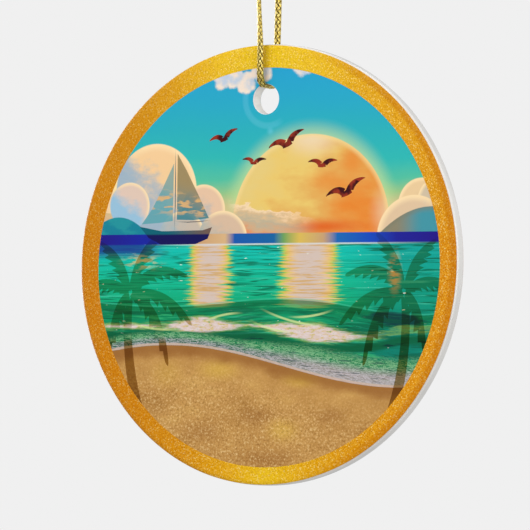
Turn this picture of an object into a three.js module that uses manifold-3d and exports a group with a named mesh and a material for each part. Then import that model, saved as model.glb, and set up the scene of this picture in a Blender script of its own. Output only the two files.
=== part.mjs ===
// A round ceramic Christmas ornament, printed on both faces and hung on a loop of flat metallic cord.
// Millimetres. The origin is the hang point, the inside top of the cord's loop, just under its knot.
// +Z is up, -Y is the front of the disc, and +X is on the right of someone who looks at the front.
import * as THREE from 'three';
import { mergeVertices } from 'three/addons/utils/BufferGeometryUtils.js';
import Module from 'manifold-3d';

// The ceramic blank, a disc that stands in the XZ plane
const DISC_RADIUS = 36.5;
const CERAMIC_THICKNESS = 2.3;
const EDGE_ROUNDING = 0.6;
const DISC_CENTRE_Z = -92;
const HOLE_RADIUS = 2.6;
const HOLE_ABOVE_CENTRE = 27.4;
const HOLE_ROUNDING = 0.25;

// The printed coat on each face: a round picture, a little below the disc's centre, inside a border
const COAT_THICKNESS = 0.1;
const COAT_GAP = 0.02; // between the coat and the ceramic
const PICTURE_RADIUS = 33.05;
const PICTURE_OFFSET_X = 0.15;
const PICTURE_OFFSET_Z = -0.45;
const BORDER_GAP = 0.05; // between the picture and the border
const BORDER_WRAP = THREE.MathUtils.degToRad(30); // how far the border runs over the rounded edge
const BORDER_INNER_RADIUS = 31; // before the picture's circle is cut out of it

// The cord, flat in section
const CORD_WIDTH = 1.2;
const CORD_THICKNESS = 0.7;
const CORD_SIDES = 8;
const LOOP_STEPS = 64;
const TAIL_STEPS = 4;

// The knot that closes the loop, as the solid that encloses its turns
const KNOT_WIDTH = 4.8;
const KNOT_DEPTH = 3.8;
const KNOT_BOTTOM_Z = 0.7;
const KNOT_TOP_Z = 5.5;

const ROUND_SEGMENTS = 80; // round the disc
const HOLE_SEGMENTS = 32;
const ARC_STEPS = 3; // in each rounded corner of a profile
const MERGE_WITHIN = 1e-5;

// From the cord's bend in the hole up its front half to the knot, as [x, y, z].
// The back half is the same with y reversed.
const FRONT_STRAND = [
  [-0.34, -1.2, -62.56],
  [-0.34, -1.95, -62.25],
  [-0.32, -2.48, -61.4],
  [-0.27, -2.62, -59.8],
  [-0.22, -2.66, -56.5],
  [-0.2, -2.85, -52.5],
  [-0.22, -3.12, -48.0],
  [-0.24, -3.42, -42.0],
  [-0.24, -3.65, -35.0],
  [-0.2, -3.68, -28.0],
  [-0.14, -3.35, -20.0],
  [-0.08, -2.6, -12.0],
  [-0.03, -1.65, -5.5],
  [0.0, -0.85, -0.9],
  [0.0, -0.55, 0.4],
];
const BEND_MIDDLE = [-0.34, 0, -62.63];

// The front tail from the knot to its tip, as [x, y, z]; the back one is the same turned half round
const FRONT_TAIL = [
  [-0.65, -0.35, 5.8],
  [-1.25, -0.6, 7.6],
  [-2.15, -0.85, 9.4],
  [-3.2, -1.0, 11.0],
];

const wasm = await Module();
wasm.setup();

// ---- Solids -------------------------------------------------------------------------------------

function toSolid(geometry) {
  const bare = geometry.clone();
  bare.deleteAttribute('normal');
  bare.deleteAttribute('uv');
  const merged = mergeVertices(bare, MERGE_WITHIN);
  const corners = merged.index.array;
  const triangles = [];
  for (let i = 0; i < corners.length; i += 3) {
    const [a, b, c] = [corners[i], corners[i + 1], corners[i + 2]];
    const collapsed = a === b || b === c || c === a;
    if (!collapsed) triangles.push(a, b, c);
  }
  return new wasm.Manifold(new wasm.Mesh({
    numProp: 3,
    vertProperties: merged.attributes.position.array,
    triVerts: new Uint32Array(triangles),
  }));
}

function toGeometry(solid) {
  const mesh = solid.getMesh();
  const geometry = new THREE.BufferGeometry();
  geometry.setAttribute('position', new THREE.BufferAttribute(mesh.vertProperties, 3));
  geometry.setIndex(new THREE.BufferAttribute(mesh.triVerts, 1));
  geometry.computeVertexNormals();
  return geometry;
}

// A profile of [radius, y] points turned round the Y axis, moved to (x, z)
function turned(profile, segments, x = 0, z = 0) {
  const points = profile.map(([radius, y]) => new THREE.Vector2(radius, y));
  return toSolid(new THREE.LatheGeometry(points, segments).translate(x, 0, z));
}

// Points on a circle round [centreR, centreY], from one angle to another; angle 0 points outwards
function arc(centreR, centreY, radius, from, to) {
  return Array.from({ length: ARC_STEPS + 1 }, (_, i) => {
    const angle = from + (to - from) * i / ARC_STEPS;
    return [centreR + radius * Math.cos(angle), centreY + radius * Math.sin(angle)];
  });
}

const QUARTER = Math.PI / 2;
const HALF_CERAMIC = CERAMIC_THICKNESS / 2;
const FLAT_RADIUS = DISC_RADIUS - EDGE_ROUNDING; // where the flat face meets the rounded edge
const COAT_IN = HALF_CERAMIC + COAT_GAP; // the coat's inner and outer faces, from the mid-plane
const COAT_OUT = COAT_IN + COAT_THICKNESS;
const CUT_REACH = COAT_OUT + 1;

// A cutter that runs well past both faces
function cylinder(radius, segments, x, z) {
  return turned([[0, -CUT_REACH], [radius, -CUT_REACH], [radius, CUT_REACH], [0, CUT_REACH]], segments, x, z);
}

function ceramicDisc() {
  const roundingY = HALF_CERAMIC - EDGE_ROUNDING;
  const blank = turned([
    [0, -HALF_CERAMIC],
    ...arc(FLAT_RADIUS, -roundingY, EDGE_ROUNDING, -QUARTER, 0),
    ...arc(FLAT_RADIUS, roundingY, EDGE_ROUNDING, 0, QUARTER),
    [0, HALF_CERAMIC],
  ], ROUND_SEGMENTS);
  const mouth = HOLE_RADIUS + HOLE_ROUNDING;
  const lip = HALF_CERAMIC - HOLE_ROUNDING;
  const hole = turned([
    [0, -CUT_REACH],
    [mouth, -CUT_REACH],
    ...arc(mouth, -lip, HOLE_ROUNDING, -QUARTER, -2 * QUARTER),
    ...arc(mouth, lip, HOLE_ROUNDING, 2 * QUARTER, QUARTER),
    [mouth, CUT_REACH],
    [0, CUT_REACH],
  ], HOLE_SEGMENTS, 0, HOLE_ABOVE_CENTRE);
  return blank.subtract(hole);
}

// The coats are made on the front face, where the coat runs from y = -COAT_IN to y = -COAT_OUT
function picture() {
  const sheet = turned([
    [0, -COAT_OUT],
    [PICTURE_RADIUS, -COAT_OUT],
    [PICTURE_RADIUS, -COAT_IN],
    [0, -COAT_IN],
  ], ROUND_SEGMENTS, PICTURE_OFFSET_X, PICTURE_OFFSET_Z);
  return sheet.subtract(cylinder(HOLE_RADIUS + HOLE_ROUNDING, HOLE_SEGMENTS, 0, HOLE_ABOVE_CENTRE));
}

function border() {
  const roundingY = -(HALF_CERAMIC - EDGE_ROUNDING);
  const inside = EDGE_ROUNDING + COAT_GAP;
  const outside = inside + COAT_THICKNESS;
  const ring = turned([
    [BORDER_INNER_RADIUS, -COAT_OUT],
    ...arc(FLAT_RADIUS, roundingY, outside, -QUARTER, -QUARTER + BORDER_WRAP),
    ...arc(FLAT_RADIUS, roundingY, inside, -QUARTER + BORDER_WRAP, -QUARTER),
    [BORDER_INNER_RADIUS, -COAT_IN],
    [BORDER_INNER_RADIUS, -COAT_OUT],
  ], ROUND_SEGMENTS);
  const windowRadius = PICTURE_RADIUS + BORDER_GAP;
  return ring.subtract(cylinder(windowRadius, ROUND_SEGMENTS, PICTURE_OFFSET_X, PICTURE_OFFSET_Z));
}

// ---- Cord ---------------------------------------------------------------------------------------

// A flat cord swept along the points, with its width along X where the points lie in the YZ plane
function cordAlong(points, steps) {
  const section = new THREE.Shape(Array.from({ length: CORD_SIDES }, (_, i) => {
    const angle = 2 * Math.PI * (i + 0.5) / CORD_SIDES;
    return new THREE.Vector2(CORD_WIDTH / 2 * Math.cos(angle), CORD_THICKNESS / 2 * Math.sin(angle));
  }));
  const route = new THREE.CatmullRomCurve3(points.map((p) => new THREE.Vector3(...p)), false, 'centripetal');
  return new THREE.ExtrudeGeometry(section, { steps, bevelEnabled: false, extrudePath: route });
}

function cordLoop() {
  const backStrand = FRONT_STRAND.map(([x, y, z]) => [x, -y, z]);
  return cordAlong([...FRONT_STRAND.toReversed(), BEND_MIDDLE, ...backStrand], LOOP_STEPS);
}

function cordKnot() {
  const height = KNOT_TOP_Z - KNOT_BOTTOM_Z;
  return new THREE.SphereGeometry(1, 20, 14)
    .scale(KNOT_WIDTH / 2, KNOT_DEPTH / 2, height / 2)
    .translate(0, 0, (KNOT_TOP_Z + KNOT_BOTTOM_Z) / 2);
}

// ---- Assembly -----------------------------------------------------------------------------------

function material(color, roughness, metalness = 0) {
  return new THREE.MeshStandardMaterial({ color, roughness, metalness });
}

const white = material(0xf2efe9, 0.25);
const printed = material(0x2fae9e, 0.3);
const gold = material(0xd99a2b, 0.4, 0.3);
const goldCord = material(0xc9b06a, 0.35, 0.8);

function named(name, geometry, look) {
  const mesh = new THREE.Mesh(geometry, look);
  mesh.name = name;
  return mesh;
}

const disc = new THREE.Group();
disc.position.set(0, 0, DISC_CENTRE_Z);
disc.add(named('ceramic_disc', toGeometry(ceramicDisc()), white));
// The back's print is the front's, turned half round
for (const [face, turn] of [['front', 0], ['back', Math.PI]]) {
  const print = new THREE.Group();
  print.rotation.z = turn;
  print.add(named(`${face}_picture`, toGeometry(picture()), printed));
  print.add(named(`${face}_border`, toGeometry(border()), gold));
  disc.add(print);
}

const cord = new THREE.Group();
cord.add(named('cord_loop', cordLoop(), goldCord));
cord.add(named('cord_knot', cordKnot(), goldCord));
cord.add(named('cord_tail_front', cordAlong(FRONT_TAIL, TAIL_STEPS), goldCord));
cord.add(named('cord_tail_back', cordAlong(FRONT_TAIL, TAIL_STEPS).rotateZ(Math.PI), goldCord));

const ornament = new THREE.Group();
ornament.add(disc, cord);
export default ornament;
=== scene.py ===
"""A round ceramic Christmas ornament: a white glazed disc, printed on both faces with a sunset beach inside
a gold glitter border, hung on a loop of flat braided metallic cord.
Metres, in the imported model's own frame: +Z is up, -Y is the front and +X is on its right."""

import math
from dataclasses import dataclass
from itertools import product

import bmesh
import bpy
import numpy as np
from mathutils import Matrix, Vector
from mathutils.geometry import delaunay_2d_cdt


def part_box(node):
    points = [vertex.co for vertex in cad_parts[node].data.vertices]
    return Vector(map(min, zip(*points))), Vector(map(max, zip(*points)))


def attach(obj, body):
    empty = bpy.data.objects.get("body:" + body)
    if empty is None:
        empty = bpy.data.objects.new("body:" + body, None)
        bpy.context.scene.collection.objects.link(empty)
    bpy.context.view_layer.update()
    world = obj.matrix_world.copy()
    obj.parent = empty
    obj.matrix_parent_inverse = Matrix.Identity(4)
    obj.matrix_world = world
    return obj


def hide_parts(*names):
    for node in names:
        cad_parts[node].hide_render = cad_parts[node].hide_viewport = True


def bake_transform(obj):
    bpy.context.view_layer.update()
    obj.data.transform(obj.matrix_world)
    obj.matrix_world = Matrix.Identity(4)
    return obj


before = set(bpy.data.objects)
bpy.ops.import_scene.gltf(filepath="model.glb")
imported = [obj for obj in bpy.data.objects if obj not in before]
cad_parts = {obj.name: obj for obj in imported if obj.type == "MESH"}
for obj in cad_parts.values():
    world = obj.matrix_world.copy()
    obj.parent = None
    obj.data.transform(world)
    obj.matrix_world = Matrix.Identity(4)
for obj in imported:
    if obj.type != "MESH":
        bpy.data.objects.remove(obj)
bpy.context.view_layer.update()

MM = 0.001

# ---- Sizes, from the frame where it holds them -----------------------

DISC_LOW, DISC_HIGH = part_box("ceramic_disc")
DISC_CENTRE = (DISC_LOW + DISC_HIGH) / 2
DISC_RADIUS = (DISC_HIGH.x - DISC_LOW.x) / 2 / MM
HALF_CERAMIC = (DISC_HIGH.y - DISC_LOW.y) / 2 / MM
PICTURE_LOW, PICTURE_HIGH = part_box("front_picture")
PICTURE_RADIUS = (PICTURE_HIGH.x - PICTURE_LOW.x) / 2 / MM
PICTURE_CENTRE = ((PICTURE_LOW + PICTURE_HIGH) / 2 - DISC_CENTRE) / MM
COAT_OUT = -PICTURE_LOW.y / MM  # the coat's outer and inner faces, from the disc's mid-plane
COAT_IN = -PICTURE_HIGH.y / MM
BORDER_RADIUS = (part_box("front_border")[1].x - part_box("front_border")[0].x) / 2 / MM

# Sizes that the frame doesn't hold, in millimetres
HOLE_RADIUS = 2.45
HOLE_ROUNDING = 0.1
HOLE_ABOVE_CENTRE = 27.4
EDGE_ROUND_IN = 0.9  # the edge is rounded over this much of the face
EDGE_ROUND_DEEP = 0.6  # and this much of the thickness
BORDER_GAP = 0.01  # between the picture and the border
BORDER_FAR_WRAP = math.radians(62)  # how far the border runs over the edge on one side of the disc
CORNER = 0.03  # how far a crisp corner bends the shading on either side of it
ART_TURN = math.radians(-0.9)  # the print sits a little turned on the disc

CORD_WIDTH = 1.2
CORD_THICKNESS = 0.7

# ---- Camera ----------------------------------------------------------

VIEW_AZIMUTH = math.radians(31.4)
VIEW_ELEVATION = math.radians(-2.5)
VIEW_DISTANCE = 1.2
FRAME_WIDTH = 0.0876  # what the image's width covers at the disc's centre
SENSOR = 36.0
AIM_RIGHT = -0.15  # the middle of the image, in mm from the centre of the front's print
AIM_UP = -0.07


def add_object(name, data):
    made = bpy.data.objects.new(name, data)
    bpy.context.scene.collection.objects.link(made)
    return made


def aim_back(thing, direction):
    """Turns a camera or light that stands in a direction from its target to face the target."""
    thing.rotation_mode = "QUATERNION"
    thing.rotation_quaternion = direction.to_track_quat("Z", "Y")


def make_camera():
    direction = Vector((
        math.sin(VIEW_AZIMUTH) * math.cos(VIEW_ELEVATION),
        -math.cos(VIEW_AZIMUTH) * math.cos(VIEW_ELEVATION),
        math.sin(VIEW_ELEVATION),
    ))
    data = bpy.data.cameras.new("camera")
    data.sensor_width = SENSOR
    data.lens = SENSOR * VIEW_DISTANCE / FRAME_WIDTH
    data.clip_start = 0.01
    data.clip_end = 50
    camera = add_object("camera", data)
    aside = Vector((math.cos(VIEW_AZIMUTH), math.sin(VIEW_AZIMUTH), 0)) * AIM_RIGHT
    aim = DISC_CENTRE + (aside + Vector((0, -COAT_OUT, AIM_UP))) * MM
    camera.location = aim + direction * VIEW_DISTANCE
    aim_back(camera, direction)
    bpy.context.scene.camera = camera


# ---- Node materials --------------------------------------------------


def linear_rgba(red, green, blue):
    """A colour from 0 to 255 a channel, as the linear RGBA that shaders use."""
    def linear(c):
        c /= 255
        return c / 12.92 if c <= 0.04045 else ((c + 0.055) / 1.055) ** 2.4

    return (linear(red), linear(green), linear(blue), 1.0)


def by(operation):
    return lambda self, other: self.paint.math(operation, self, other)


@dataclass
class Field:
    """A number or colour that varies over a surface, the output of one shader node."""

    paint: "Paint"
    socket: object

    __add__ = __radd__ = by("ADD")
    __sub__ = by("SUBTRACT")
    __mul__ = __rmul__ = by("MULTIPLY")
    __truediv__ = by("DIVIDE")

    def __rsub__(self, other):
        return self.paint.math("SUBTRACT", other, self)


class Paint:
    """One material's node tree, built by short calls. An argument may be a Field, a number, a colour from 0
    to 255 a channel, or a linear RGBA."""

    def __init__(self, name, **settings):
        self.material = bpy.data.materials.new(name)
        self.material.use_nodes = True
        self.tree = self.material.node_tree
        self.shader = self.tree.nodes["Principled BSDF"]
        for socket, value in settings.items():
            self.shader.inputs[socket.replace("_", " ")].default_value = value

    def node(self, kind, **options):
        made = self.tree.nodes.new("ShaderNode" + kind)
        for key, value in options.items():
            setattr(made, key, value)
        return made

    def feed(self, node, socket, value):
        if isinstance(value, Field):
            self.tree.links.new(value.socket, node.inputs[socket])
        elif isinstance(value, tuple) and len(value) == 3:
            node.inputs[socket].default_value = linear_rgba(*value)
        else:
            node.inputs[socket].default_value = value

    def math(self, operation, *values):
        node = self.node("Math", operation=operation)
        for i, value in enumerate(values):
            self.feed(node, i, value)
        return Field(self, node.outputs[0])

    def length(self, x, z):
        return self.math("SQRT", x * x + z * z)

    def rise(self, value, low, high):
        """0 below low and 1 above high, with a soft step between, or the reverse if high is below low."""
        node = self.node("MapRange", interpolation_type="SMOOTHSTEP")
        self.feed(node, 0, value)
        node.inputs[1].default_value = low
        node.inputs[2].default_value = high
        return Field(self, node.outputs[0])

    def band(self, value, centre, half):
        """1 where value is centre, falling to 0 at half on either side."""
        return self.rise(self.math("ABSOLUTE", value - centre), half, half * 0.3)

    def spot(self, x, z, centre_x, centre_z, reach_x, reach_z):
        """A soft patch: 1 at its centre and 0 at its reach."""
        away = self.length((x - centre_x) / reach_x, (z - centre_z) / reach_z)
        return self.rise(away, 1.0, 0.0)

    def ramp(self, value, stops):
        """The colour at value along stops, a list of (value, colour)."""
        low, high = stops[0][0], stops[-1][0]
        node = self.node("ValToRGB")
        elements = node.color_ramp.elements
        while len(elements) < len(stops):
            elements.new(0.5)
        for element, (at, colour) in zip(elements, stops):
            element.position = (at - low) / (high - low)
            element.color = linear_rgba(*colour)
        self.feed(node, 0, (value - low) / (high - low))
        return Field(self, node.outputs[0])

    def mix(self, factor, below, above, how="MIX"):
        node = self.node("Mix", data_type="RGBA", blend_type=how)
        self.feed(node, 0, factor)
        self.feed(node, 6, below)
        self.feed(node, 7, above)
        return Field(self, node.outputs[2])

    def layers(self, below, colours):
        """Colours laid over one another, each given as its strength and itself, from the lowest up."""
        for strength, colour in colours:
            below = self.mix(strength, below, colour)
        return below

    def spots(self, x, z, below, patches):
        """Soft patches over a colour, each given as its place and reach, its strength and its colour."""
        layers = [(self.spot(x, z, *place) * strength, colour) for place, strength, colour in patches]
        return self.layers(below, layers)

    def at(self, x, z, depth=0.0):
        node = self.node("CombineXYZ")
        for i, value in enumerate((x, z, depth)):
            self.feed(node, i, value)
        return Field(self, node.outputs[0])

    def noise(self, place, scale=1.0, detail=2.0, rough=0.5):
        node = self.node("TexNoise")
        self.feed(node, "Vector", place)
        for socket, value in (("Scale", scale), ("Detail", detail), ("Roughness", rough)):
            node.inputs[socket].default_value = value
        return Field(self, node.outputs[0])

    def cells(self, place, scale):
        """Three random numbers for each cell of a surface broken into cells, as a colour."""
        node = self.node("TexVoronoi")
        self.feed(node, "Vector", place)
        node.inputs["Scale"].default_value = scale
        return Field(self, node.outputs["Color"])

    def coordinates(self):
        return Field(self, self.node("TexCoord").outputs["Object"])

    def attribute(self, name, output="Vector"):
        return Field(self, self.node("Attribute", attribute_name=name).outputs[output])

    def parts(self, vector):
        node = self.node("SeparateXYZ")
        self.feed(node, 0, vector)
        return [Field(self, out) for out in node.outputs]

    def bump(self, height, distance, strength=1.0):
        node = self.node("Bump")
        self.feed(node, "Height", height)
        node.inputs["Distance"].default_value = distance
        node.inputs["Strength"].default_value = strength
        self.use("Normal", Field(self, node.outputs[0]))

    def use(self, socket, value):
        self.feed(self.shader, socket, value)


# ---- The printed scene -----------------------------------------------
# Places are in the art's own millimetres from the disc's centre, x to the right and z up.

HORIZON = 5.2
SUN = (8.5, 6.4, 15.1)  # x, z, radius
CREAM = (250, 222, 172)
DEEP_ORANGE = (230, 124, 33)
GOLDEN_SAND = (210, 168, 74)
DARK_SAND = (158, 108, 54)
PALM_OVER_SAND = (0.44, 0.33, 0.14, 1)
PALM_OVER_SEA = (0.62, 0.52, 0.34, 1)


def paint_sky(p, x, z):
    drift = p.noise(p.at(x * 0.09, z * 0.16, 3.0), detail=3.0)
    height = z + (drift - 0.5) * 3.0
    return p.ramp(height, [
        (5.0, (228, 170, 125)),
        (7.5, (220, 179, 135)),
        (10.0, (201, 185, 133)),
        (11.6, (145, 193, 133)),
        (14.0, (81, 189, 158)),
        (17.5, (46, 181, 176)),
        (22.5, (41, 172, 185)),
        (27.0, (39, 166, 195)),
        (32.0, (37, 160, 203)),
    ])


SUN_PATCHES = [
    ((8.5, 21.0, 7.5, 4.5), 0.9, (237, 212, 176)),
    ((16.4, 17.2, 3.6, 3.8), 0.6, DEEP_ORANGE),
    ((12.0, 13.8, 6.5, 2.6), 0.6, DEEP_ORANGE),
    ((16.5, 9.6, 7.0, 4.6), 0.6, DEEP_ORANGE),
    ((23.2, 8.5, 4.2, 6.0), 0.9, (232, 190, 146)),
    ((10.5, 6.2, 13.0, 1.9), 0.9, (222, 95, 31)),
]


def paint_sun(p, x, z, below):
    centre_x, centre_z, radius = SUN
    dx = x - centre_x
    dz = z - centre_z
    away = p.length(dx, dz)
    billow = p.noise(p.at(x * 0.16, z * 0.34, 7.0), detail=3.0) - 0.5
    disc = p.ramp(dx * 0.05 - dz * 0.04 + billow * 1.5, [
        (-1.0, (228, 200, 122)),
        (-0.5, (232, 198, 108)),
        (-0.1, (226, 172, 89)),
        (0.3, (228, 152, 69)),
        (0.7, (230, 129, 46)),
        (1.1, (228, 108, 33)),
    ])
    disc = p.spots(x, z, disc, SUN_PATCHES)
    disc = p.mix(p.rise(away, radius - 1.1, radius) * 0.7, disc, (241, 212, 145))
    return p.layers(below, [
        (p.rise(away, radius + 3.0, radius - 1.4) * 0.75, (196, 222, 150)),
        (p.rise(away, radius + 0.08, radius - 0.08), disc),
    ])


def paint_puff(p, x, z, below, place, lit, shaded):
    """A round cloud with a bright rim, lit on the side of the sun and shaded on the other."""
    centre_x, centre_z, radius = place
    dx = x - centre_x
    dz = z - centre_z
    away = p.length(dx, dz)
    toward_sun = 0.6 if centre_x < SUN[0] else -0.6
    soft = p.noise(p.at(x * 0.3, z * 0.45, radius), detail=4.0, rough=0.6) - 0.5
    facing = (dx * toward_sun + dz * 0.7) / radius
    colour = p.mix(p.rise(facing * 0.9 + soft * 1.3, -0.28, 0.34), shaded, lit)
    rim = p.rise(away, radius * 0.8, radius) * p.rise(facing, -0.2, 0.6)
    colour = p.mix(rim * 0.9, colour, CREAM)
    return p.mix(p.rise(away, radius + 0.1, radius - 0.1), below, colour)


CLOUDS = [  # place, lit colour, shaded colour, from the farthest to the nearest
    ((-30.6, 13.4, 4.6), (250, 224, 160), (240, 206, 160)),
    ((-21.6, 12.4, 7.9), (242, 202, 150), (158, 178, 192)),
    ((-12.3, 9.2, 4.2), (228, 192, 160), (158, 176, 184)),
    ((-26.8, 10.0, 3.9), (222, 196, 178), (150, 190, 214)),
    ((-16.4, 4.4, 4.6), (196, 182, 166), (164, 180, 184)),
    ((-8.5, 4.2, 4.8), (214, 184, 156), (176, 178, 168)),
    ((29.6, 9.6, 4.4), (232, 200, 152), (218, 188, 150)),
    ((33.0, 10.0, 4.2), (206, 188, 160), (150, 180, 186)),
    ((28.2, 4.2, 7.0), (222, 192, 156), (176, 196, 198)),
]


def paint_haze(p, x, z, below):
    """Low bands of cloud across the sun's foot."""
    billow = p.noise(p.at(x * 0.36, z * 0.9, 11.0), detail=4.0, rough=0.62)
    top = 9.6 + (billow - 0.5) * 4.4 - (x + 4.0) * 0.16
    mask = p.rise(z - top, 0.3, -0.2) * p.rise(x, 11.0, 2.0) * p.rise(x, -8.0, -5.0)
    colour = p.ramp(z - top, [
        (-4.5, (226, 136, 92)),
        (-3.2, (206, 166, 132)),
        (-1.9, (182, 172, 150)),
        (-0.9, (216, 184, 144)),
        (0.0, (248, 220, 184)),
    ])
    return p.mix(mask * 0.9, below, colour)


def paint_bubble(p, x, z, below):
    """A faint ring of light in the sky round the cord's hole."""
    ring = p.band(p.length(x, z - HOLE_ABOVE_CENTRE), 4.4, 0.75)
    lower_left = p.rise(x + z - HOLE_ABOVE_CENTRE, 0.0, -3.0)
    below = p.mix(ring * lower_left * 0.2, below, (120, 206, 228))
    return p.mix(p.spot(x, z, 0.5, 22.1, 0.9, 0.9) * 0.35, below, (120, 206, 228))


def paint_top_clouds(p, x, z, below):
    fluff = p.noise(p.at(x * 0.5, z * 0.5, 17.0), detail=3.0, rough=0.5) - 0.5
    mask = None
    for centre_x, centre_z, radius in (
        (-9.0, 30.9, 1.6), (-6.6, 31.3, 1.9), (-4.3, 30.3, 1.8), (-1.4, 32.0, 1.9), (6.8, 33.2, 2.1),
    ):
        away = p.length(x - centre_x, z - centre_z) + fluff * 1.6
        puff = p.rise(away, radius + 0.35, radius - 0.35)
        mask = puff if mask is None else p.math("MAXIMUM", mask, puff)
    colour = p.mix(p.rise(fluff, -0.16, 0.16) * 0.8, (240, 222, 204), (176, 198, 222))
    return p.mix(mask, below, colour)


def paint_hills(p, x, z, below):
    left = 8.1 - 0.085 * (x + 29.0) * (x + 29.0)
    right = 9.3 - 0.045 * (x - 31.5) * (x - 31.5)
    tone = p.noise(p.at(x * 0.3, z * 0.6, 13.0), detail=3.0)
    near = p.mix(p.rise(tone, 0.4, 0.62), (22, 128, 148), (34, 144, 152))
    colour = p.mix(p.rise(z - left, 0.08, -0.08), below, near)
    slope = p.mix(p.rise(x, 24.5, 30.0), (136, 130, 106), (66, 146, 160))
    slope = p.mix(p.rise(right - z, 1.2, 0.0) * 0.6, slope, (120, 124, 104))
    return p.mix(p.rise(z - right, 0.08, -0.08), colour, slope)


def shoreline(p, x):
    return -16.8 + 3.5 * p.math("COSINE", (x + 19.0) * (math.pi / 45))


REFLECTION = [  # from a light column's ragged edge to its middle
    (0.0, (34, 180, 110)),
    (0.22, (128, 204, 84)),
    (0.4, (218, 198, 96)),
    (0.62, (230, 190, 126)),
    (1.0, (210, 190, 178)),
]


def paint_light_columns(p, x, z, below):
    """The sun's light on the water under the clouds and under the sun, ragged where the ripples cut it."""
    left_comb = p.noise(p.at(x * 0.07, z * 3.6, 5.0), detail=4.0, rough=0.7) - 0.5
    right_comb = p.noise(p.at(x * 0.07, z * 3.6, 15.0), detail=4.0, rough=0.7) - 0.5
    spread = p.rise(z, 5.0, -6.0) * 9.0 + 4.2
    for centre, half_width in ((-10.9, 3.2), (8.3, 4.5)):
        left = p.rise(x + left_comb * spread, centre - half_width * 1.5, centre - half_width * 0.35)
        right = p.rise(x + right_comb * spread, centre + half_width * 1.5, centre + half_width * 0.35)
        strength = left * right * p.rise(z + left_comb * 2.0, -7.6, -6.0)
        gaps = p.rise(p.noise(p.at(x * 0.14, z * 3.2, centre), detail=3.0, rough=0.7), 0.5, 0.6)
        light = p.mix(gaps * 0.75, p.ramp(strength, REFLECTION), (206, 158, 74))
        below = p.mix(p.rise(strength, 0.04, 0.3), below, light)
    return below


def paint_sea(p, x, z):
    colour = p.ramp(z, [
        (-20.0, (8, 112, 76)),
        (-11.0, (8, 132, 88)),
        (-6.5, (12, 166, 114)),
        (-2.0, (16, 186, 148)),
        (3.4, (14, 188, 176)),
    ])
    long_waves = p.noise(p.at(x * 0.022, z * 0.62, 23.0), detail=3.0, rough=0.6)
    ripple = p.noise(p.at(x * 0.06, z * 1.9, 27.0), detail=4.0, rough=0.7)
    colour = p.layers(colour, [
        (p.rise(x, 13.0, 26.0) * 0.5, (10, 124, 124)),
        (p.band(long_waves, 0.5, 0.022) * 0.8, (4, 96, 66)),
        (p.band(long_waves, 0.58, 0.018) * 0.6, (4, 110, 84)),
        (p.rise(ripple, 0.46, 0.32) * 0.4, (4, 124, 96)),
        (p.rise(ripple, 0.54, 0.7) * 0.6, (84, 218, 184)),
        (p.rise(z, 0.6, 2.6) * p.rise(x, -18.0, -25.0) * 0.9, (24, 44, 140)),
    ])
    colour = paint_light_columns(p, x, z, colour)
    glint = p.noise(p.at(x * 0.42, z * 1.7, 29.0), detail=2.0)
    sparkle = p.noise(p.at(x * 0.7, z * 2.2, 33.0), detail=2.0)
    return p.layers(colour, [
        (p.spot(x, z, 24.7, -1.5, 1.7, 4.6) * p.rise(glint, 0.42, 0.56) * 0.9, (228, 176, 96)),
        (p.spot(x, z, -24.3, 0.6, 5.4, 2.0) * p.rise(glint, 0.46, 0.58) * 0.9, (206, 190, 130)),
        (p.rise(sparkle, 0.70, 0.75) * 0.9, (226, 240, 226)),
    ])


def paint_horizon_band(p, x, z, below):
    band = p.ramp(x, [
        (-33.0, (34, 24, 128)),
        (-24.0, (24, 36, 156)),
        (-15.5, (20, 36, 100)),
        (-13.4, (200, 156, 112)),
        (-8.0, (214, 176, 128)),
        (-6.2, (26, 86, 168)),
        (1.5, (20, 98, 158)),
        (3.4, (110, 160, 90)),
        (6.4, (216, 184, 86)),
        (11.0, (196, 158, 114)),
        (13.6, (28, 104, 176)),
        (20.0, (22, 72, 184)),
        (25.0, (30, 34, 146)),
        (33.0, (36, 20, 130)),
    ])
    colour = p.mix(p.rise(z, 3.3, 3.6), below, band)
    line = p.band(z, 3.4, 0.2) * p.rise(x, -24.0, -8.0) * p.rise(x, 34.0, 14.0)
    return p.mix(line * 0.8, colour, (214, 216, 214))


def stroke(p, x, z, start, end, thickness):
    """A tapered brush stroke from start to end."""
    run = Vector(end) - Vector(start)
    length = run.length
    run = run / length
    along = (x - start[0]) * run.x + (z - start[1]) * run.y
    across = (z - start[1]) * run.x - (x - start[0]) * run.y
    bow = along * (length - along) * (0.22 / length)
    taper = p.rise(along, 0.0, length * 0.4) * p.rise(along, length, length * 0.6)
    return p.band(across + bow, 0.0, thickness) * taper


def paint_swell(p, x, z, below, above_crest, ragged):
    """The green slope under the wave's crest, and the dark hollow where it curls over."""
    slope = p.rise(above_crest, 0.12, -0.12) * p.rise(above_crest, -3.6, -0.4)
    hollow = p.spot(x + ragged * 9.0, z + x * 0.1 - 2.5 + ragged * 1.2, 25.0, -9.2, 8.5, 1.9)
    return p.layers(below, [
        (slope * 0.8, (4, 112, 66)),
        (p.band(above_crest, 0.15, 0.16) * 0.5, (60, 190, 150)),
        (p.rise(hollow, 0.1, 0.5) * 0.9, (10, 56, 60)),
    ])


FROTH = [  # from the foam's gaps, through its lit curds, to its shaded ones
    (0.30, (90, 160, 120)),
    (0.40, (214, 186, 120)),
    (0.50, (214, 194, 190)),
    (0.64, (226, 210, 204)),
    (0.72, (150, 176, 140)),
]
SPRAY = [  # start and end of each thin stroke of spray
    ((-1.5, -7.0), (12.5, -10.2)),
    ((4.0, -8.6), (13.5, -7.4)),
    ((-4.0, -8.0), (-12.5, -9.6)),
    ((-27.5, -9.2), (-16.0, -10.6)),
    ((-3.0, -9.2), (6.0, -11.2)),
]


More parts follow.
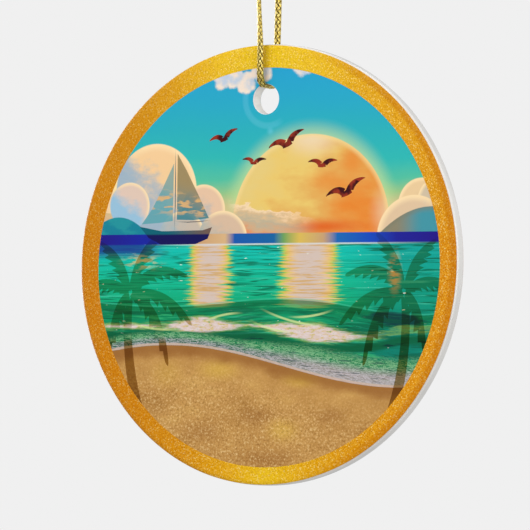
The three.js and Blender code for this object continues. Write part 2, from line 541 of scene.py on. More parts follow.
def paint_foam(p, x, z, below, above_crest, ragged):
    """The wave's foam in two patches, the ridges of open water round it and the trough in front of it."""
    foam_line = -10.1 - p.rise(x, -4.0, 18.0) * 1.9 + p.rise(x, 19.0, 28.0) * 1.2
    thick = p.spot(x, z, -12.5, -9.5, 8.0, 9.0) * 1.2 + p.spot(x, z, 9.0, -11.0, 11.0, 9.0) * 1.35 - 0.05
    outside = p.math("ABSOLUTE", z - foam_line) + ragged * 2.4 - thick
    foam = p.rise(outside, 0.5, -0.1)
    fringe = p.rise(outside, 0.9, 0.1) * (1.0 - foam)
    curds = p.noise(p.at(x * 0.7, z * 2.4, 35.0), detail=3.0, rough=0.7)
    ridges = p.noise(p.at(x * 0.08, above_crest * 1.4, 53.0), detail=5.0, rough=0.65)
    open_water = p.rise(above_crest, 0.0, -1.2) * (1.0 - foam)
    trough = foam_line - 1.75 - p.spot(x, z, 9.0, -12.0, 12.0, 9.0) * 0.8 + ragged * 0.9
    darkest = p.band(z, trough - 0.4, 0.45) * p.rise(ragged, 0.02, 0.12)
    return p.layers(below, [
        (fringe * 0.7, (150, 190, 80)),
        (foam * p.rise(x, 24.0, 15.0), p.ramp(curds, FROTH)),
        (p.rise(ridges, 0.5, 0.58) * open_water * 0.6, (4, 84, 56)),
        (p.rise(ridges, 0.44, 0.37) * open_water * 0.5, (56, 190, 120)),
        (p.band(z, trough, 1.15) * 0.9, (4, 92, 56)),
        (darkest * 0.8, (6, 44, 48)),
        *[(stroke(p, x, z, start, end, 0.26) * 0.75, (206, 226, 150)) for start, end in SPRAY],
    ])


def paint_wash(p, x, z, below):
    """The thin water and lace of foam that run up to the sand."""
    above = z - shoreline(p, x)
    part = above / (2.3 + p.rise(x, -8.0, 12.0) * 2.4)
    wash = p.rise(part, 1.15, 0.75)
    shallow = p.mix(p.rise(x, -6.0, 14.0), (46, 92, 72), (160, 146, 142))
    shallow = p.mix(p.rise(part, 0.3, 0.7), shallow, (14, 122, 72))
    lace = p.noise(p.at(x * 0.42, z * 2.4 + x * 0.3, 37.0), detail=4.0, rough=0.7)
    net = p.math("MAXIMUM", p.band(lace, 0.46, 0.055), p.band(lace, 0.6, 0.05))
    ripple = p.noise(p.at(x * 0.3, z * 3.0 + x * 0.2, 39.0), detail=3.0, rough=0.6)
    return p.layers(below, [
        (wash * 0.85, shallow),
        (net * wash * 0.7, p.mix(p.rise(part, 0.3, 0.8), (206, 198, 206), (150, 204, 150))),
        (p.rise(ripple, 0.56, 0.64) * wash * 0.6, (44, 70, 76)),
        (p.band(above, 0.2, 0.3) * 0.8, (206, 178, 160)),
    ])


def paint_breakers(p, x, z, below):
    """The swell, the breaking wave and the foam that runs up to the sand."""
    above_crest = z - (-6.4 + p.math("SINE", x * 0.14 + 1.2) * 0.6 - p.rise(x, 8.0, 32.0) * 1.7)
    ragged = p.noise(p.at(x * 0.22, z * 1.9, 31.0), detail=5.0, rough=0.7) - 0.5
    colour = paint_swell(p, x, z, below, above_crest, ragged)
    colour = paint_foam(p, x, z, colour, above_crest, ragged)
    return paint_wash(p, x, z, colour)


SAND_PATCHES = [
    ((-9.0, -17.4, 6.0, 2.6), 0.75, GOLDEN_SAND),
    ((7.0, -19.0, 5.0, 1.9), 0.9, GOLDEN_SAND),
    ((3.7, -27.4, 4.5, 2.8), 0.7, GOLDEN_SAND),
    ((-19.0, -18.0, 4.5, 3.5), 0.4, GOLDEN_SAND),
    ((-1.5, -25.0, 5.0, 2.4), 0.6, DARK_SAND),
    ((12.5, -25.0, 5.0, 2.6), 0.6, DARK_SAND),
    ((-12.0, -27.5, 6.0, 2.5), 0.6, DARK_SAND),
    ((1.0, -32.0, 9.0, 2.2), 0.6, DARK_SAND),
]


def paint_sand(p, x, z, below):
    depth = shoreline(p, x) - z
    drifts = p.noise(p.at(x * 0.11, z * 0.17, 41.0), detail=4.0, rough=0.6)
    colour = p.ramp(drifts, [
        (0.30, (172, 124, 62)),
        (0.44, (186, 138, 74)),
        (0.56, (194, 146, 80)),
        (0.70, (202, 156, 86)),
    ])
    grains = p.noise(p.at(x, z, 43.0), scale=2.6, detail=3.0, rough=0.8)
    amount = p.rise(depth, 1.0, 9.0) * 0.5 + 0.12
    colour = p.layers(p.spots(x, z, colour, SAND_PATCHES), [
        (p.rise(grains, 0.52, 0.68) * amount, (240, 210, 150)),
        (p.rise(grains, 0.48, 0.34) * amount, (132, 88, 40)),
        (p.rise(depth + (drifts - 0.5) * 2.5, 2.7, 0.6) * 0.75, (146, 92, 42)),
    ])
    return p.mix(p.rise(depth, -0.06, 0.06), below, colour)


def paint_figures(p, x, z, colour):
    """The palms, the boat and the birds, each marked on the mesh by a channel of its colour attribute."""
    palm, sail, boards = p.parts(p.attribute("figures", "Color"))
    bird = p.attribute("figures", "Alpha")
    tint = p.mix(p.rise(z, -13.0, -9.5), PALM_OVER_SAND, PALM_OVER_SEA)
    hidden = p.band(z, -11.2, 1.7) * p.rise(x, 6.0, -6.0) * 0.8 + p.band(z, 4.6, 1.8) * 0.6
    colour = p.mix(palm * (1.0 - hidden), colour, tint, "MULTIPLY")
    streaks = p.noise(p.at(x * 0.35, z * 1.2, 51.0), detail=3.0)
    cloth = p.layers((20, 124, 138), [
        (p.rise(z + x * 0.3, 3.0, 9.5), (140, 124, 84)),
        (p.rise(x, -17.6, -18.4) * 0.6, (110, 178, 184)),
        (p.rise(streaks, 0.5, 0.6) * p.band(z + x * 0.12, 8.2, 2.6) * 0.9, (226, 172, 100)),
    ])
    deck = p.mix(p.rise(x, -20.0, -10.0), (10, 96, 112), (110, 84, 74))
    hull = p.mix(p.rise(z, 5.0, 5.3), (18, 16, 84), deck)
    plumage = p.noise(p.at(x * 0.45, z * 0.45, 47.0))
    feathers = p.mix(p.rise(plumage, 0.4, 0.58), (60, 16, 22), (150, 50, 32))
    return p.layers(colour, [(sail * 0.88, cloth), (boards, hull), (bird, feathers)])


def picture_material():
    p = Paint("printed_picture", Roughness=0.2, IOR=1.45, Specular_IOR_Level=0.15)
    x, z, _ = p.parts(p.attribute("art_mm"))
    sky = paint_sun(p, x, z, paint_sky(p, x, z))
    sky = paint_top_clouds(p, x, z, paint_bubble(p, x, z, sky))
    sky = paint_haze(p, x, z, sky)
    for place, lit, shaded in CLOUDS:
        sky = paint_puff(p, x, z, sky, place, lit, shaded)
    sky = paint_hills(p, x, z, sky)
    sea = paint_horizon_band(p, x, z, paint_sea(p, x, z))
    sea = paint_breakers(p, x, z, sea)
    colour = p.mix(p.rise(z, HORIZON + 0.04, HORIZON - 0.04), sky, sea)
    colour = paint_sand(p, x, z, colour)
    p.use("Base Color", paint_figures(p, x, z, colour))
    p.bump(p.noise(p.at(x, z, 1.0), scale=0.35, detail=1.0), 0.02 * MM, 0.6)
    return p.material


# ---- Outlines of the scene's figures ---------------------------------


def bezier(start, bend, end, count):
    """Points on a quadratic curve from start to end, drawn towards bend."""
    t = np.linspace(0, 1, count)[:, None]
    start, bend, end = (np.array(p, float) for p in (start, bend, end))
    return (1 - t) ** 2 * start + 2 * t * (1 - t) * bend + t**2 * end


def leaf(start, bend, end, left, right, count=14, sweep=0.0):
    """A closed outline along a curve. Its half width on each side is a function of the way along it, 0 to 1.
    With a sweep, points off the curve are also set forward, so that teeth point towards the tip."""
    line = bezier(start, bend, end, count)
    ahead = np.gradient(line, axis=0)
    side = np.stack([-ahead[:, 1], ahead[:, 0]], axis=1) / np.linalg.norm(ahead, axis=1)[:, None]
    forward = sweep * ahead / np.linalg.norm(ahead, axis=1)[:, None]
    t = np.linspace(0, 1, count)
    one = line + (side + forward) * np.array([left(v) for v in t])[:, None]
    other = line + (forward - side) * np.array([right(v) for v in t])[:, None]
    return [tuple(q) for q in np.concatenate([one, other[::-1][1:-1]])]


PALMS, SAILS, BOARDS, BIRDS = range(4)  # the channel of the colour attribute that marks each kind
CROWN = (26.6, -4.4)  # where the right-hand palm's leaves meet
LEAF_TEETH = 7
PALM_LEAVES = [  # how each leaf bends and where its tip is, from the crown
    ((-4.4, 5.2), (-11.4, 2.6)),
    ((-7.0, 0.6), (-12.4, -5.6)),
    ((-5.6, -2.0), (-7.8, -12.4)),
    ((-1.6, 5.6), (-5.4, 9.6)),
    ((1.6, 5.2), (5.8, 8.4)),
    ((4.0, 2.6), (9.4, 0.4)),
    ((2.4, -1.6), (4.2, -10.6)),
]


def palm_leaf(bend, tip):
    """An arching leaf, smooth along its upper edge and cut into teeth along its lower one."""
    def smooth_edge(t):
        return 0.05 + 0.75 * math.sin(math.pi * (0.06 + 0.94 * t)) ** 0.8

    def toothed_edge(t):
        depth = 0.65 * min(1, 3 * t) * (1 - (t * LEAF_TEETH) % 1.0)
        return 0.05 + 2.0 * math.sin(math.pi * (0.06 + 0.94 * t)) ** 0.7 * (1 - depth)

    start, bend, tip = ((CROWN[0] + x, CROWN[1] + z) for x, z in ((0, 0), bend, tip))
    edges = (toothed_edge, smooth_edge) if tip[0] < start[0] else (smooth_edge, toothed_edge)
    return leaf(start, bend, tip, *edges, count=LEAF_TEETH * 5 + 1, sweep=0.5)


def palms():
    """A palm at each side of the picture, the left one the mirror image of the right one."""
    def taper(t):
        return 1.0 - 0.3 * t

    trunk = leaf((24.3, -25.0), (27.8, -15.0), CROWN, taper, taper, count=8)
    outlines = [trunk, *(palm_leaf(bend, tip) for bend, tip in PALM_LEAVES)]
    return [[(side * x, z) for x, z in outline] for side in (1, -1) for outline in outlines]


def wing(root, bend, tip, chord):
    """A gull's wing, its trailing edge the lower one, with the feathers a little parted."""
    def leading(t):
        return 0.05 + chord * 0.28 * (1 - t) ** 0.5

    def trailing(t):
        spread = chord * 0.62 * (1 - t) ** 0.8 + chord * 0.16
        return spread * (1 - 0.22 * t * ((t * 6) % 1.0)) * (1 - t**6) + 0.03

    if tip[0] > root[0]:
        return leaf(root, bend, tip, leading, trailing, count=19, sweep=0.4)
    return leaf(root, bend, tip, trailing, leading, count=19, sweep=0.4)


def body(beak, middle, tail, plumpness):
    def plump(t):
        return plumpness * math.sin(math.pi * (0.1 + 0.86 * t)) ** 0.7

    return leaf(beak, middle, tail, plump, plump, count=10)


def gull(x, z, reach, tilt):
    """A gull in flight, with the reach of one wing in millimetres and its tilt in degrees."""
    turn = Matrix.Rotation(math.radians(tilt), 2)

    def spot(right, up):
        return tuple(Vector((x, z)) + turn @ Vector((right, up)) * reach)

    return [
        body(spot(0.26, 0.02), spot(0.0, 0.08), spot(-0.3, -0.08), 0.12 * reach),
        wing(spot(0.05, 0.06), spot(0.34, 0.54), spot(1.0, 0.4), 0.31 * reach),
        wing(spot(-0.03, 0.06), spot(-0.4, 0.5), spot(-1.0, 0.12), 0.31 * reach),
    ]


FLOCK = [  # x, z, reach, tilt
    (-8.4, 20.8, 2.9, 12),
    (-2.6, 16.8, 2.3, -8),
    (3.9, 19.8, 3.7, 16),
    (10.6, 16.2, 2.8, -6),
    (15.4, 11.6, 4.0, 14),
]


def birds():
    return [outline for place in FLOCK for outline in gull(*place)]


def sails():
    mainsail = [(-17.5, 18.6), (-15.7, 15.8), (-13.4, 11.8), (-11.2, 7.8), (-14.4, 7.5), (-17.5, 7.6)]
    jib = [(-18.2, 17.0), (-20.4, 12.8), (-22.4, 9.4), (-24.4, 6.9), (-21.0, 7.1), (-18.3, 7.4)]
    return [mainsail, jib]


def hull_and_rigging():
    mast = leaf((-17.85, 5.4), (-17.85, 12.0), (-17.85, 19.4), lambda t: 0.09, lambda t: 0.07, count=4)
    boom = leaf((-17.8, 7.2), (-14.0, 7.1), (-10.9, 7.4), lambda t: 0.07, lambda t: 0.07, count=4)
    sheer = [(-24.8, 6.5), (-20.4, 5.7), (-12.4, 5.8), (-10.6, 6.3)]
    bottom = [(-11.4, 4.4), (-13.8, 3.5), (-20.6, 3.5), (-23.0, 4.6)]
    hull = sheer + bottom
    return [mast, boom, hull]


# ---- Meshes of the disc and its print --------------------------------

ROUND_STEPS = 256
HOLE_STEPS = 96


def circle(radius, count, x=0.0, z=0.0):
    turn = np.linspace(0, 2 * math.pi, count, endpoint=False)
    return [(x + radius * math.cos(a), z + radius * math.sin(a)) for a in turn]


def new_piece(name, vertices, faces, material, smooth=False):
    """A mesh object whose vertices are in millimetres from the disc's centre."""
    mesh = bpy.data.meshes.new(name)
    mesh.from_pydata([tuple(DISC_CENTRE + Vector(v) * MM) for v in vertices], [], faces)
    mesh.materials.append(material)
    if smooth:
        mesh.polygons.foreach_set("use_smooth", [True] * len(mesh.polygons))
    return add_object(name, mesh)


def triangulate(outer, holes, figures=()):
    """Triangles of the region inside outer and outside holes, with every figure's outline kept as edges.
    Gives the points, the triangles, and for each triangle the figures that cover it."""
    rings = [outer, *holes, *figures]
    points, faces = [], []
    for ring in rings:
        area = sum(a[0] * b[1] - b[0] * a[1] for a, b in zip(ring, ring[1:] + ring[:1]))
        ordered = ring if area > 0 else ring[::-1]
        faces.append(list(range(len(points), len(points) + len(ordered))))
        points.extend(ordered)
    found = delaunay_2d_cdt([Vector(q) for q in points], [], faces, 1, 1e-6)
    vertices, triangles, owners = found[0], found[2], found[5]
    kept, covers = [], []
    for triangle, owner in zip(triangles, owners):
        inside = set(owner)
        if 0 in inside and not any(1 + i in inside for i in range(len(holes))):
            kept.append(list(triangle))
            covers.append([i - 1 - len(holes) for i in inside if i > len(holes)])
    return [tuple(v) for v in vertices], kept, covers


def coat_of(points, triangles):
    """A thin closed sheet on the disc's front, from -COAT_OUT back to -COAT_IN, outer triangles first."""
    count = len(points)
    vertices = [(x, -COAT_OUT, z) for x, z in points] + [(x, -COAT_IN, z) for x, z in points]
    outer = [tuple(t) for t in triangles]
    inner = [tuple(count + i for i in reversed(t)) for t in triangles]
    edges = {}
    for t in outer:
        for a, b in zip(t, t[1:] + t[:1]):
            edges[(a, b)] = edges.get((a, b), 0) + 1
    walls = [(b, a, a + count, b + count) for a, b in edges if (b, a) not in edges]
    return vertices, outer + inner + walls


def picture_mesh(name, material):
    """The printed picture, with the art's own millimetres and the marks of its figures as attributes."""
    inward = Matrix.Rotation(-ART_TURN, 2)
    outward = Matrix.Rotation(ART_TURN, 2)
    kinds = [(PALMS, palms()), (SAILS, sails()), (BOARDS, hull_and_rigging()), (BIRDS, birds())]
    figures = [(channel, outline) for channel, outlines in kinds for outline in outlines]
    turned = [[tuple(outward @ Vector(q)) for q in outline] for _, outline in figures]
    border = circle(PICTURE_RADIUS, ROUND_STEPS, PICTURE_CENTRE.x, PICTURE_CENTRE.z)
    hole = circle(HOLE_RADIUS + HOLE_ROUNDING, HOLE_STEPS, 0.0, HOLE_ABOVE_CENTRE)
    points, triangles, covers = triangulate(border, [hole], turned)
    vertices, faces = coat_of(points, triangles)
    piece = new_piece(name, vertices, faces, material)
    mesh = piece.data
    art = mesh.attributes.new("art_mm", "FLOAT_VECTOR", "POINT")
    places = [inward @ Vector(q) for q in points]
    art.data.foreach_set("vector", [c for q in places + places for c in (q.x, q.y, 0.0)])
    marks = mesh.attributes.new("figures", "FLOAT_COLOR", "CORNER")
    marks.data.foreach_set("color", [0.0] * (4 * len(marks.data)))
    for polygon, cover in zip(mesh.polygons, covers):
        mark = [0.0] * 4
        for figure in cover:
            mark[figures[figure][0]] = 1.0
        for corner in polygon.loop_indices:
            marks.data[corner].color = mark
    return piece


def swept_ring(name, outline_at, count, material):
    """A closed ring round the disc's axis. outline_at gives its [radius, y] outline at an angle."""
    vertices, faces = [], []
    for i in range(count):
        angle = 2 * math.pi * i / count
        outline = outline_at(angle)
        size = len(outline)
        vertices += [(r * math.cos(angle), y, r * math.sin(angle)) for r, y in outline]
        here, there = i * size, (i + 1) % count * size
        for j in range(size):
            after = (j + 1) % size
            faces.append((here + after, here + j, there + j, there + after))
    return new_piece(name, vertices, faces, material, smooth=True)


def rounded_edge(radius, out, start, end, steps):
    """Points on the front's rounded edge, as [radius, y], from angle start to angle end off the normal."""
    flat = radius - EDGE_ROUND_IN
    return [
        (
            flat + (EDGE_ROUND_IN + out) * math.sin(a),
            -(HALF_CERAMIC - EDGE_ROUND_DEEP) - (EDGE_ROUND_DEEP + out) * math.cos(a),
        )
        for a in np.linspace(start, end, steps)
    ]


def border_mesh(name, material, far_side):
    """The border, which runs over the disc's rounded edge, and farther at +X or -X: far_side is 1 or -1."""
    outside, inside = COAT_OUT - HALF_CERAMIC, COAT_IN - HALF_CERAMIC
    least = math.asin((BORDER_RADIUS - DISC_RADIUS + EDGE_ROUND_IN) / (EDGE_ROUND_IN + outside))
    flat = DISC_RADIUS - EDGE_ROUND_IN

    def outline_at(angle):
        toward = Vector((math.cos(angle), math.sin(angle)))
        centre = Vector((PICTURE_CENTRE.x, PICTURE_CENTRE.z))
        along = centre.dot(toward)
        across = centre.length_squared - along**2
        window = along + math.sqrt((PICTURE_RADIUS + BORDER_GAP) ** 2 - across)
        far = min(1, max(0, (0.25 + far_side * toward.x) / 0.6))
        wrap = least + (BORDER_FAR_WRAP - least) * far
        face = [(r, -COAT_OUT) for r in (window, window + CORNER, (window + flat) / 2)]
        back = [(r, -COAT_IN) for r in ((window + flat) / 2, window + CORNER, window)]
        over = rounded_edge(DISC_RADIUS, outside, 0, wrap - CORNER, 9)
        over += rounded_edge(DISC_RADIUS, outside, wrap, wrap, 1)
        under = rounded_edge(DISC_RADIUS, inside, wrap, 0, 9)
        return face + over + under + back

    piece = swept_ring(name, outline_at, ROUND_STEPS, material)
    mesh = piece.data
    ring = mesh.attributes.new("ring", "FLOAT_VECTOR", "POINT")
    for vertex, place in zip(mesh.vertices, ring.data):
        x, z = ((vertex.co - DISC_CENTRE) / MM).xz
        place.vector = (x, z, math.hypot(x, z))
    return piece


def disc_mesh(name, material):
    """The ceramic blank with rounded edges and the cord's hole."""
    flat = DISC_RADIUS - EDGE_ROUND_IN
    mouth = HOLE_RADIUS + HOLE_ROUNDING
    hole = circle(mouth, HOLE_STEPS, 0, HOLE_ABOVE_CENTRE)
    points, triangles, _ = triangulate(circle(flat, ROUND_STEPS), [hole])
    vertices = [(x, -HALF_CERAMIC, z) for x, z in points] + [(x, HALF_CERAMIC, z) for x, z in points]
    count = len(points)
    faces = [tuple(t) for t in triangles] + [tuple(count + i for i in reversed(t)) for t in triangles]
    flat_faces = len(faces)

    def wall(profile, steps, x, z, inwards):
        start = len(vertices)
        for radius, y in profile:
            vertices.extend((px, y, pz) for px, pz in circle(radius, steps, x, z))
        for row in range(len(profile) - 1):
            for i in range(steps):
                a, b = start + row * steps + i, start + row * steps + (i + 1) % steps
                quad = (a, a + steps, b + steps, b)
                faces.append(quad if inwards else quad[::-1])

    front = rounded_edge(DISC_RADIUS, 0, 0, math.pi / 2, 13)
    wall(front + [(r, -y) for r, y in reversed(front)], ROUND_STEPS, 0, 0, inwards=False)
    lip = [
        (
            mouth - HOLE_ROUNDING * math.sin(a),
            -(HALF_CERAMIC - HOLE_ROUNDING) - HOLE_ROUNDING * math.cos(a),
        )
        for a in np.linspace(0, math.pi / 2, 5)
    ]
    wall(lip + [(r, -y) for r, y in reversed(lip)], HOLE_STEPS, 0, HOLE_ABOVE_CENTRE, inwards=True)
    piece = new_piece(name, vertices, faces, material)
    smooth = [i >= flat_faces for i in range(len(faces))]
    piece.data.polygons.foreach_set("use_smooth", smooth)
    weld = bmesh.new()
    weld.from_mesh(piece.data)
    bmesh.ops.remove_doubles(weld, verts=weld.verts, dist=1e-6)
    bmesh.ops.recalc_face_normals(weld, faces=weld.faces)
    weld.to_mesh(piece.data)
    weld.free()
    return piece


def turned_to_back(piece):
    """The piece turned half round the vertical axis, from the disc's front onto its back."""
    piece.data.transform(Matrix.Rotation(math.pi, 4, "Z"))
    return piece


# ---- Materials of the disc, border and cord --------------------------


def ceramic_material():
    p = Paint("glazed_ceramic", Roughness=0.2, IOR=1.5, Specular_IOR_Level=0.4)
    place = p.coordinates()
    cloud = p.noise(place, scale=90, detail=3.0)
    colour = p.mix(p.rise(cloud, 0.35, 0.7), (228, 226, 222), (238, 236, 232))
    fleck = p.rise(p.noise(place, scale=1500, detail=1.0), 0.74, 0.8)
    p.use("Base Color", p.mix(fleck * 0.35, colour, (196, 188, 176)))
    p.use("Roughness", p.noise(place, scale=260, detail=2.0) * 0.12 + 0.12)
    p.bump(p.noise(place, scale=220, detail=2.0), 0.05 * MM, 0.5)
    return p.material


def border_material():
    p = Paint("gold_glitter", Roughness=0.42, IOR=1.45, Specular_IOR_Level=0.06)
    x, z, radius = p.parts(p.attribute("ring"))
    from_top = p.math("ARCTAN2", p.math("ABSOLUTE", x), z) * (180 / math.pi)
    gold = p.ramp(from_top, [
        (0, (238, 202, 30)),
        (15, (238, 196, 36)),
        (32, (228, 170, 26)),
        (58, (222, 154, 18)),
        (90, (216, 136, 8)),
        (130, (220, 144, 8)),
        (155, (218, 148, 4)),
        (168, (226, 168, 10)),
        (180, (234, 194, 22)),
    ])
    place = p.at(x, z)
    grain = p.noise(place, scale=5.2, detail=2.0, rough=0.8)
    bright, dull, tilt = p.parts(p.cells(place, 7.0))
    gold = p.mix(p.rise(bright, 0.5, 0.9) * 0.55, gold, (248, 198, 74))
    gold = p.mix(p.rise(dull, 0.5, 0.95) * 0.6, gold, (0.66, 0.54, 0.3, 1), "MULTIPLY")
    gold = p.mix(p.rise(grain, 0.5, 0.4) * 0.4, gold, (0.68, 0.56, 0.3, 1), "MULTIPLY")
    # Painted glints: the flakes of highest tilt are coloured near white, as if they caught the light, and
    # made shinier.
    gold = p.mix(p.rise(tilt, 0.9, 0.97) * 0.5, gold, (255, 236, 150))
    # Painted shade: the border is darker towards its left side.
    gold = p.mix(p.rise(x, -4.0, -30.0) * 0.42, gold, (176, 92, 0))
    shaded_edge = p.rise(radius, DISC_RADIUS - 1.7, DISC_RADIUS - 1.0) * p.rise(x, 4.0, 24.0)
    gold = p.mix(shaded_edge * 0.5, gold, (184, 104, 0))
    p.use("Base Color", gold)
    p.use("Roughness", 0.5 - p.rise(tilt, 0.7, 1.0) * 0.25)
    p.bump(grain + tilt * 0.3, 0.03 * MM, 0.6)
    return p.material


def cord_material():
    p = Paint("gold_cord", Metallic=0.95, Roughness=0.3)
    along, across, shade = p.parts(p.attribute("yarn"))
    fibre_and_glint = p.noise(p.at(along * 1.3, across * 30.0), detail=3.0, rough=0.7)
    # Fibre streaks along the yarns; the pale cream at the ramp's top is a painted glint, light caught on the
    # fibres.
    gold = p.ramp(fibre_and_glint, [
        (0.38, (176, 138, 26)),
        (0.5, (236, 206, 84)),
        (0.6, (255, 250, 192)),
    ])
    p.use("Base Color", p.mix(p.rise(shade, 0.2, 0.75), gold, (96, 74, 8)))
    p.use("Roughness", 0.22 + p.noise(p.at(along * 3.0, across * 9.0, 5.0)) * 0.28)
    p.bump(fibre_and_glint, 0.03 * MM, 0.6)
    return p.material


# ---- The cord --------------------------------------------------------

# From the bend in the hole up the front half of the loop to the knot. The bend is a little above the packed
# model's, as the cord is squashed flat where it bears on the ceramic.
FRONT_STRAND = [
    (-0.34, -1.1, -62.4),
    (-0.34, -1.85, -62.14),
    (-0.32, -2.42, -61.3),
    (-0.27, -2.62, -59.8),
    (-0.22, -2.66, -56.5),
    (-0.2, -2.85, -52.5),
    (-0.22, -3.12, -48.0),
    (-0.24, -3.42, -42.0),
    (-0.24, -3.65, -35.0),
    (-0.2, -3.68, -28.0),
    (-0.14, -3.35, -20.0),
    (-0.08, -2.6, -12.0),
    (-0.03, -1.65, -5.5),
    (0.0, -0.85, -0.9),
    (0.0, -0.55, 0.4),
]
BEND_MIDDLE = (-0.34, 0.0, -62.42)
FRONT_TAIL = [
    (-0.65, -0.35, 5.8),
    (-1.25, -0.6, 7.6),
    (-2.15, -0.85, 9.4),
    (-3.2, -1.0, 11.0),
]
CORD_STEP = 0.2
BRAID_PITCH = 4.7
YARNS_EACH_WAY = 4
YARN_WIDTH = 0.48
YARN_THICKNESS = 0.18
YARN_LIFT = 0.07  # how far a yarn rises and dips as it passes over and under the others
BRAID_INSET_WIDE = 0.13  # how far the yarns' middle line lies inside the cord's outline
BRAID_INSET_DEEP = 0.11
FRAY_LENGTH = 1.6  # the tips of the tails spread out over this much
BEARING_REACH = 0.96  # the cord is squashed flat for this far on each side of its bend
BEARING_FADE = 1.6  # and comes back to its full thickness over this much more
CORE_WIDE = 0.765  # the core's width and thickness, as parts of what the yarns' middle line spans
CORE_DEEP = 0.72


def unit(vectors):
    return vectors / np.linalg.norm(vectors, axis=1)[:, None]


def through(points, step):
    """Evenly spaced points on a smooth curve through the given ones."""
    p = np.array(points, float)
    p = np.vstack([2 * p[0] - p[1], p, 2 * p[-1] - p[-2]])
    dense = []
    for a, b, c, d in zip(p, p[1:], p[2:], p[3:]):
        for t in np.linspace(0, 1, 24, endpoint=False):
            square, cube = 2 * a - 5 * b + 4 * c - d, 3 * b - a - 3 * c + d
            dense.append(0.5 * (2 * b + (c - a) * t + square * t**2 + cube * t**3))
    dense = np.array([*dense, p[-2]])
    along = np.concatenate([[0], np.cumsum(np.linalg.norm(np.diff(dense, axis=0), axis=1))])
    at = np.linspace(0, along[-1], round(along[-1] / step) + 1)
    return np.stack([np.interp(at, along, dense[:, k]) for k in range(3)], axis=1)


def knot_turns(side):
    """One strand's way up through the overhand knot: side is -1 for the front strand and 1 for the back.
    The line midway between the strands is a polynomial curve that is knotted."""
    t = np.linspace(-1.95, 1.95, 22)
    x, y, z = 0.78 * (t**3 - 3 * t), 0.5 * (t**4 - 4 * t**2) + 1.0, 0.19 * (t**5 - 10 * t) + 3.1
    middle = np.stack([x, y, z], axis=1)
    ahead = unit(np.gradient(middle, axis=0))
    beside = unit(np.cross(ahead, (1.0, 0.0, 0.0)))
    return [tuple(q) for q in middle + side * 0.4 * beside]


def cord_route():
    """The whole cord, from the front tail's tip through the knot and the loop to the other tail's tip."""
    front = [*FRONT_STRAND, *knot_turns(-1), *FRONT_TAIL]
    back = [
        *[(x, -y, z) for x, y, z in FRONT_STRAND],
        *knot_turns(1),
        *[(-x, -y, z) for x, y, z in FRONT_TAIL],
    ]
    return through([*front[::-1], BEND_MIDDLE, *back], CORD_STEP)


def cord_frames(route):
    """For each point of the route its direction, and the directions of the cord's width and thickness."""
    ahead = unit(np.gradient(route, axis=0))
    middle = int(np.argmin(np.linalg.norm(route - np.array(BEND_MIDDLE), axis=1)))
    width = np.zeros_like(route)
    width[middle] = (1, 0, 0)
    for order in (range(middle + 1, len(route)), range(middle - 1, -1, -1)):
        last = width[middle]
        for i in order:
            last = last - ahead[i] * (last @ ahead[i])
            last = last / np.linalg.norm(last)
            width[i] = last
    thick = np.cross(ahead, width)
    # The front strand turns its edge forwards, by one radian, on its way up.
    rise = np.clip((route[:, 2] + 60.0) / 12.0, 0, 1)
    front = np.arange(len(route)) < middle
    turn = np.where(front, rise * rise * (3 - 2 * rise), 0.0)[:, None]
    return ahead, width * np.cos(turn) + thick * np.sin(turn), thick * np.cos(turn) - width * np.sin(turn)


def tube(centres, one, other, radius_one, radius_other, sides, attribute):
    """A closed tube of elliptic section along centres. attribute gives each ring's (along, shade)."""
    vertices, faces, marks = [], [], []
    count = len(centres)
    for i in range(count):
        for k in range(sides):
            a = 2 * math.pi * k / sides
            offset = one[i] * radius_one[i] * math.cos(a) + other[i] * radius_other[i] * math.sin(a)
            vertices.append(centres[i] + offset)
            marks.append((attribute[i][0], k / sides, attribute[i][1]))
    for i in range(count - 1):
        for k in range(sides):
            a, b = i * sides + k, i * sides + (k + 1) % sides
            faces.append((a, b, b + sides, a + sides))
    faces.append(tuple(reversed(range(sides))))
    faces.append(tuple(range((count - 1) * sides, count * sides)))
    return vertices, faces, marks


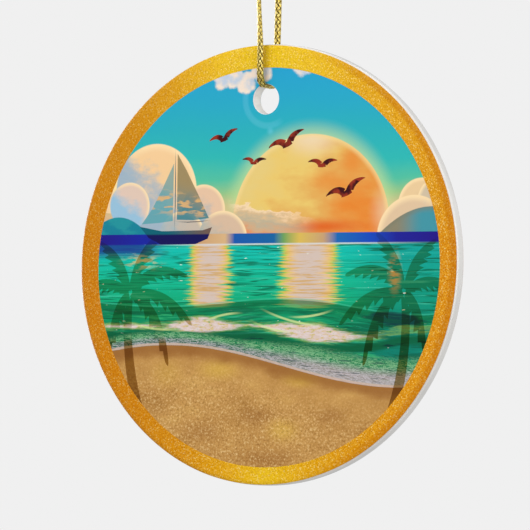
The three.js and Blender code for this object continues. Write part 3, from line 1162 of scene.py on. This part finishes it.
def cord_mesh(name, material):
    """A flat tubular braid: yarns that wind both ways round the cord and pass over and under each other."""
    route = cord_route()
    ahead, width, thick = cord_frames(route)
    along = np.arange(len(route)) * CORD_STEP
    from_tip = np.minimum(along, along[-1] - along)
    from_bend = np.abs(along - along[-1] / 2)
    fray = np.clip(1 - from_tip / FRAY_LENGTH, 0, 1) ** 1.5
    squash = np.clip(1 + (BEARING_REACH - from_bend) / BEARING_FADE, 0, 1)
    half_width = (CORD_WIDTH / 2 - BRAID_INSET_WIDE) * (1 + 0.3 * fray + 0.12 * squash)
    half_thick = (CORD_THICKNESS / 2 - BRAID_INSET_DEEP) * (1 + 0.4 * fray - 0.5 * squash)
    vertices, faces, marks = [], [], []

    def add(part):
        start = len(vertices)
        vertices.extend(part[0])
        faces.extend(tuple(start + i for i in face) for face in part[1])
        marks.extend(part[2])

    core_marks = [(s, 0.8) for s in along]
    add(tube(route, width, thick, half_width * CORE_WIDE, half_thick * CORE_DEEP, 8, core_marks))
    for way, yarn in product((1, -1), range(YARNS_EACH_WAY)):
        angle = way * 2 * math.pi * along / BRAID_PITCH + 2 * math.pi * yarn / YARNS_EACH_WAY
        angle = angle + (0 if way > 0 else math.pi / YARNS_EACH_WAY)
        wave = way * np.sin(2 * YARNS_EACH_WAY * math.pi * along / BRAID_PITCH)
        lift = YARN_LIFT * wave * (1 - 0.5 * squash)
        cos, sin = np.cos(angle)[:, None], np.sin(angle)[:, None]
        outwards = unit(width * cos / half_width[:, None] + thick * sin / half_thick[:, None])
        line = route + width * cos * half_width[:, None] + thick * sin * half_thick[:, None]
        line = line + outwards * lift[:, None]
        run = unit(np.gradient(line, axis=0))
        side = unit(np.cross(outwards, run))
        up = np.cross(run, side)
        flat = np.full(len(line), YARN_WIDTH / 2), np.full(len(line), YARN_THICKNESS / 2)
        phase = [(s + 17.0 * yarn + 5.0 * way, 0.5 - 0.5 * w) for s, w in zip(along, wave)]
        add(tube(line, side, up, *flat, 6, phase))
    mesh = bpy.data.meshes.new(name)
    mesh.from_pydata([tuple(Vector(v) * MM) for v in vertices], [], faces)
    mesh.polygons.foreach_set("use_smooth", [True] * len(mesh.polygons))
    mesh.materials.append(material)
    yarn_mark = mesh.attributes.new("yarn", "FLOAT_VECTOR", "POINT")
    yarn_mark.data.foreach_set("vector", np.array(marks, np.float32).ravel())
    return add_object(name, mesh), route * MM


# ---- Studio ----------------------------------------------------------

FLOOR_Z = -0.22
BACKDROP = 0.871  # the brightness of the plain floor and backdrop
WORLD_STRENGTH = 0.62
DOME_RADIUS = 4.2
LIGHTS = [  # name, azimuth, elevation, distance, size, watts
    ("key", -2, 33, 1.1, 0.7, 6.1),
    ("fill", 58, 2, 1.3, 0.8, 5.4),
    ("back_key", 242, 8, 1.2, 0.8, 12),
    ("back_fill", 140, 12, 1.3, 0.8, 1.5),
]


def area_light(name, azimuth, elevation, distance, size, watts):
    """A square soft light that faces the disc; azimuth 0 is in front of it and 90 on its right."""
    a, e = math.radians(azimuth), math.radians(elevation)
    direction = Vector((math.sin(a) * math.cos(e), -math.cos(a) * math.cos(e), math.sin(e)))
    data = bpy.data.lights.new(name, "AREA")
    data.size = size
    data.energy = watts
    light = add_object(name, data)
    light.location = DISC_CENTRE + direction * distance
    aim_back(light, direction)


def make_studio():
    world = bpy.data.worlds.new("studio")
    world.use_nodes = True
    background = world.node_tree.nodes["Background"]
    background.inputs["Color"].default_value = (BACKDROP, BACKDROP, BACKDROP, 1)
    background.inputs["Strength"].default_value = WORLD_STRENGTH
    bpy.context.scene.world = world

    glow = Paint("pale_backdrop", Base_Color=(0, 0, 0, 1), Roughness=1.0, Specular_IOR_Level=0.0)
    glow.shader.inputs["Emission Color"].default_value = (BACKDROP, BACKDROP, BACKDROP, 1)
    glow.shader.inputs["Emission Strength"].default_value = 1.0

    mesh = bpy.data.meshes.new("floor")
    reach = DOME_RADIUS * 1.05
    corners = [(-reach, -reach), (reach, -reach), (reach, reach), (-reach, reach)]
    mesh.from_pydata([(x, y, FLOOR_Z) for x, y in corners], [], [(0, 1, 2, 3)])
    mesh.materials.append(glow.material)
    floor = add_object("floor", mesh)

    ball = bmesh.new()
    bmesh.ops.create_uvsphere(ball, u_segments=48, v_segments=24, radius=DOME_RADIUS)
    bmesh.ops.reverse_faces(ball, faces=ball.faces)
    shell = bpy.data.meshes.new("backdrop")
    ball.to_mesh(shell)
    ball.free()
    shell.materials.append(glow.material)
    backdrop = add_object("backdrop", shell)
    backdrop.visible_shadow = False
    for stage in (floor, backdrop):
        stage.visible_diffuse = False
        stage.visible_glossy = False

    for light in LIGHTS:
        area_light(*light)


# ---- Assembly --------------------------------------------------------

make_camera()

cord_gold = cord_material()
cord, cord_line = cord_mesh("gold_cord", cord_gold)
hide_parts("cord_loop", "cord_knot", "cord_tail_front", "cord_tail_back")
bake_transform(cord)

disc = disc_mesh("ceramic_blank", ceramic_material())
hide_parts("ceramic_disc")
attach(disc, "disc")

picture, glitter = picture_material(), border_material()
prints = [
    (picture_mesh("print_front", picture), "front_picture", "printed_picture"),
    (border_mesh("glitter_front", glitter, -1), "front_border", "gold_glitter"),
    (turned_to_back(picture_mesh("print_back", picture)), "back_picture", "printed_picture"),
    (turned_to_back(border_mesh("glitter_back", glitter, 1)), "back_border", "gold_glitter"),
]
for piece, node, slot in prints:
    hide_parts(node)
    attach(piece, "disc")

make_studio()
bpy.context.scene.view_settings.view_transform = "Standard"
